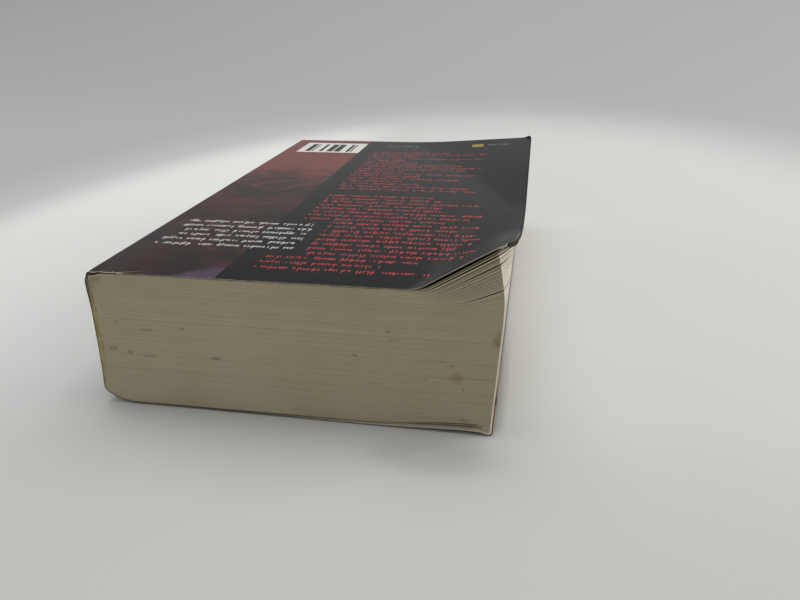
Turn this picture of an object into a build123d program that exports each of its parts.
from build123d import *
import os
from math import atan2, cos, radians, sin, sqrt, tan

# A thick, much read pocket paperback that lies on its front cover, spine at -X and head at -Y.
# Millimetres, +Z up. The origin is on the surface it lies on, under the middle of its outline.

# The closed book
cover_width = 108.0  # back cover, from the spine's edge to the fore edge
book_height = 178.0  # head to tail
thickness = 37.4  # over both covers, away from the curled corner
card = 0.3  # the cover's card

# The rolled spine: its lower edge has slid back and become a soft shoulder
spine_lean = 1.2  # the spine's lower edge lies this far behind its upper edge
spine_bulge = 0.3  # the spine stands out this far
bulge_drop = 5.6  # at this depth under the back cover
spine_dent = 0.05  # and is pressed in this far at mid height, from the slope between its edges
shoulder_width = 9.2
shoulder_height = 3.4
shoulder_round = 0.8
front_roll = 2.9  # length of the front cover that has rolled up into the spine

# The glued back of the leaves, and the strips of cover glued down beside it
glue = 1.1
glue_end = 0.9  # the glue stops this far short of either cover
hinge_strip = 6.0

# The leaves
front_inset = 0.6  # the first leaf ends this far inside the front cover
back_inset = 2.3  # the last leaf ends this far inside the back cover
curled_depth = 5.1  # from this far under the back cover the leaves curl at the near corner
quiet_skew = 0.3  # how far the leaves below have drawn in from the fore edge there
curled_fore_skew = 3.6  # how far the uppermost curled leaves have drawn in from it
curled_head_skew = 1.75  # and from the head

# The back cover's near corner, curled up about a slanting line from head to fore edge
curl_at_head = 26.2  # where that line meets the head, from the fore edge
curl_at_fore = 51.2  # where it meets the fore edge, from the head
curl_radius = 7.0
curl_angle = 34.8
tip_length = 2.7  # the outermost tip, which has rolled over and down
tip_turn = -68.0
leaf_slack = 0.6  # the leaves start to curl this much further out than the cover
leaf_curl_radius = 7.4
leaf_curl_angle = 34.2

# Gaps between bunches of leaves in that corner, in a section square to the curl line:
# how far out the gap starts, its height there over the flat last leaf, slope, opening angle
leaf_gaps = [
    (6.0, 1.3, 33.2, 0.7),
    (7.6, 1.4, 31.6, 0.8),
    (10.4, 1.3, 28.6, 0.8),
    (13.5, 2.3, 26.2, 2.2),
    (11.0, -0.8, 24.6, 0.8),
    (14.0, -1.8, 23.0, 2.2),
    (15.2, -3.5, 16.5, 1.0),
]
# One more gap low down, where a few leaves droop: the same four, over the first leaf
low_gap = (13.6, 1.05, -1.7, 2.4)

# The back cover's far corner, bowed up by use
bow_gap = 9.0  # flat stretch of the fore edge between the curl and the bow
bow_at_tail = 57.0  # where the bow starts at the tail, from the fore edge
bow_radius = 250.0
bow_angle = 4.6
bow_tip_length = 3.4  # the outermost tip, which turns up more
bow_tip_turn = 70.0

# A tear in the cover at the head of the spine: distance from the spine's edge, and depth
tear = [(-2.0, 0.85), (0.6, 0.75), (1.7, 0.3), (3.1, 0.6), (4.6, 0.25), (5.4, 0.0)]
tear_drop = 2.2  # how far it runs down the spine
worn_corner = 1.2

# Places that follow from the sizes above
back_fore = (cover_width + spine_lean) / 2
spine_top = back_fore - cover_width
spine_foot = spine_top - spine_lean
front_fore = spine_foot + cover_width - front_roll
back_hinge = spine_top + hinge_strip
front_hinge = spine_foot + shoulder_width
head = -book_height / 2
tail = book_height / 2
under_back = thickness - card
mid_height = thickness / 2
first_leaf_fore = front_fore - front_inset
leaf_lean = (back_fore - back_inset - first_leaf_fore) / thickness
bow_at_fore = book_height - curl_at_fore - bow_gap
reach = book_height + cover_width  # longer than any line across the book


class TurnedCorner:
    """A fore corner of the back cover, turned up about a slanting line, its tip turned again."""

    def __init__(self, side, at_end, at_fore, radius, angle, tip_length, tip_turn):
        self.slant = atan2(at_end, at_fore)
        self.out = at_end * cos(self.slant)  # from the line to the sheet's point
        self.radius, self.angle = radius, angle
        self.run = self.out - radius * radians(angle) - tip_length
        self.tip_length, self.tip_turn = tip_length, tip_turn
        self.kink = radius * tan(radians(angle) / 2)
        self.outwards = Vector(cos(self.slant), side * sin(self.slant), 0)
        self.along = Vector(sin(self.slant), -side * cos(self.slant), 0)
        self.start = Vector(back_fore - at_end, side * book_height / 2, 0)
        upright = self.outwards.cross(Vector(0, 0, 1))
        self.plane = Plane(origin=self.start, x_dir=self.outwards, z_dir=upright)

    def outline(self):
        """The turned corner seen from above, from the line's one end round to its other end."""
        up = radians(self.angle)
        over = radians(self.tip_turn)
        seen_run = self.radius * sin(up) + self.run * cos(up)
        seen_tip = self.tip_length / over * (sin(up + over) - sin(up))
        left = self.out - self.tip_length
        point = self.out * tan(self.slant)
        spots = [
            (0, 0),
            (self.kink, self.kink * tan(self.slant)),
            (seen_run, left * tan(self.slant)),
            (seen_run + seen_tip, point),
            (seen_run, point + self.tip_length / tan(self.slant)),
            (self.kink, point + (self.out - self.kink) / tan(self.slant)),
            (0, point + self.out / tan(self.slant)),
        ]
        places = [self.start + self.outwards * out + self.along * along for out, along in spots]
        return [(place.X, place.Y) for place in places]

    def sheet(self):
        """The turned card: an arc, a straight run and the tip's arc, cut to the outline."""
        tip_radius = abs(self.tip_length / radians(self.tip_turn))
        tip_side = 1 if self.tip_turn > 0 else -1
        ends = []
        with BuildPart() as corner:
            with BuildSketch(self.plane):
                with BuildLine():
                    for height, above in ((under_back, -card / 2), (thickness, card / 2)):
                        arc = JernArc((0, height), (1, 0), self.radius - above, self.angle)
                        run = PolarLine(arc @ 1, self.run, self.angle)
                        tip = JernArc(run @ 1, run % 1, tip_radius - tip_side * above, self.tip_turn)
                        ends.append(tip @ 1)
                    Line((0, under_back), (0, thickness))
                    Line(*ends)
                make_face()
            extrude(amount=reach, both=True)
            with BuildSketch():
                with BuildLine():
                    Polyline(*self.outline(), close=True)
                make_face()
            extrude(amount=sky, mode=Mode.INTERSECT)
        return corner.part


curl = TurnedCorner(-1, curl_at_head, curl_at_fore, curl_radius, curl_angle, tip_length, tip_turn)
bow = TurnedCorner(
    1, bow_at_tail, bow_at_fore, bow_radius, bow_angle, bow_tip_length, bow_tip_turn
)
sky = under_back + curl.out * tan(radians(curl_angle))  # just over the curled corner


def section(inset):
    """Section of the closed book, that far inside the cover's outer face."""
    roll = (shoulder_width**2 + shoulder_height**2) / (2 * shoulder_height)
    foot_z = roll - sqrt((roll - inset) ** 2 - (shoulder_width - inset) ** 2)
    foot = (spine_foot + inset, foot_z)
    with BuildSketch(Plane.XZ) as cut:
        with BuildLine():
            Spline(
                (spine_top + inset, thickness - inset),
                (spine_top - spine_bulge + inset, thickness - bulge_drop),
                ((spine_top + spine_foot) / 2 + spine_dent + inset, mid_height),
                foot,
            )
            TangentArc((front_hinge, inset), foot, tangent=(-1, 0))
            Polyline(
                (front_hinge, inset),
                (front_fore - inset, inset),
                (back_fore - inset, thickness - inset),
                (spine_top + inset, thickness - inset),
            )
        make_face()
        corner = cut.vertices().sort_by_distance((foot[0], 0, foot[1]))[0]
        fillet(corner, shoulder_round - inset / 2)  # tighter further in
    return cut.sketch


outside = section(0)
inside = section(card)
with BuildSketch(Plane.XZ) as glued_back:
    add(inside)
    add(section(card + glue), mode=Mode.SUBTRACT)
    with Locations((spine_foot, shoulder_height)):
        Rectangle(
            2 * (spine_lean + 2 * glue),
            under_back - glue_end - shoulder_height,
            align=(Align.CENTER, Align.MIN),
            mode=Mode.INTERSECT,
        )

# The hard glue that holds the leaves, seen as a thin strip at the head
with BuildPart() as spine_glue:
    with BuildSketch(Plane.XZ):
        add(glued_back.sketch)
    extrude(amount=book_height / 2, both=True)

# The spine: the cover's middle, wrapped round the glued back with a strip on either side
with BuildPart() as spine_cover:
    with BuildSketch(Plane.XZ):
        add(outside)
        add(inside, mode=Mode.SUBTRACT)
        with BuildLine():
            Polyline(
                (spine_foot - reach, -reach),
                (front_hinge, -reach),
                (front_hinge, mid_height),
                (back_hinge, mid_height),
                (back_hinge, reach),
                (spine_foot - reach, reach),
                close=True,
            )
        make_face(mode=Mode.INTERSECT)
    extrude(amount=book_height / 2, both=True)
    with BuildSketch(Plane.XY.offset(thickness - tear_drop)):
        with BuildLine():
            Polyline(
                *[(spine_top + out, head + depth) for out, depth in tear],
                (spine_top + tear[-1][0], head - card),
                (spine_top + tear[0][0], head - card),
                close=True,
            )
        make_face()
    extrude(amount=reach, mode=Mode.SUBTRACT)

# The front cover, flat under the leaves
with BuildPart() as front_cover:
    with BuildSketch():
        with Locations((front_hinge, 0)):
            Rectangle(front_fore - front_hinge, book_height, align=(Align.MIN, Align.CENTER))
    extrude(amount=card)
    fillet(front_cover.edges().filter_by(Axis.Z).group_by(Axis.X)[-1], worn_corner)

# The back cover in one sheet
with BuildPart() as back_cover:
    with BuildSketch(Plane.XY.offset(under_back)):
        with BuildLine():
            Polyline(
                (back_hinge, head),
                (back_fore - curl_at_head, head),
                (back_fore, head + curl_at_fore),
                (back_fore, tail - bow_at_fore),
                (back_fore - bow_at_tail, tail),
                (back_hinge, tail),
                close=True,
            )
        make_face()
    extrude(amount=card)
    add(curl.sheet())
    add(bow.sheet())

# The leaves as one block: the section of the book, open upwards over the curled corner
with BuildPart() as text_block:
    with BuildSketch(Plane.XZ):
        add(inside)
        add(glued_back.sketch, mode=Mode.SUBTRACT)
        with Locations((back_fore, mid_height)):
            Rectangle(2 * curl_at_head, sky - mid_height, align=(Align.CENTER, Align.MIN))
    extrude(amount=book_height / 2, both=True)
    # the top of the curled leaves
    with BuildSketch(curl.plane):
        with BuildLine():
            edge = Line((-reach, under_back), (leaf_slack, under_back))
            hub = (leaf_slack, under_back + leaf_curl_radius)
            arc = CenterArc(hub, leaf_curl_radius, -90, leaf_curl_angle)
            run = PolarLine(arc @ 1, curl.out, leaf_curl_angle)
            Polyline(run @ 1, (reach, (run @ 1).Y), (reach, -card), (-reach, -card), edge @ 0)
        make_face()
    extrude(amount=reach, both=True, mode=Mode.INTERSECT)
    # the trimmed edges, square low down and drawn in where the leaves curl
    levels = [
        (-card, quiet_skew, 0),
        (under_back - curled_depth, quiet_skew, 0),
        (sky, curled_fore_skew, curled_head_skew),
    ]
    for level, fore_skew, head_skew in levels:
        fore = first_leaf_fore + leaf_lean * level
        with BuildSketch(Plane.XY.offset(level)):
            with BuildLine():
                Polyline(
                    (spine_foot - card, head),
                    (back_fore - curl_at_head + curl.kink / cos(curl.slant), head),
                    (fore - fore_skew, head + head_skew),
                    (fore, head + curl_at_fore - curl.kink / sin(curl.slant)),
                    (fore, tail),
                    (spine_foot - card, tail),
                    close=True,
                )
            make_face()
    loft(ruled=True, mode=Mode.INTERSECT)
    # the gaps between bunches of leaves
    gaps = [(under_back, gap) for gap in leaf_gaps] + [(card, low_gap)]
    for level, (out, over, slope, opening) in gaps:
        start = (out, level + over)
        with BuildSketch(curl.plane):
            with BuildLine():
                below = PolarLine(start, curl.out, slope)
                above = PolarLine(start, curl.out, slope + opening)
                Line(below @ 1, above @ 1)
            make_face()
        extrude(amount=reach, both=True, mode=Mode.SUBTRACT)

os.makedirs("parts", exist_ok=True)
text_block.part.label = "text_block"
spine_glue.part.label = "spine_glue"
spine_cover.part.label = "spine_cover"
front_cover.part.label = "front_cover"
back_cover.part.label = "back_cover"
export_step(text_block.part, "parts/text_block.step")
export_step(spine_glue.part, "parts/spine_glue.step")
export_step(spine_cover.part, "parts/spine_cover.step")
export_step(front_cover.part, "parts/front_cover.step")
export_step(back_cover.part, "parts/back_cover.step")
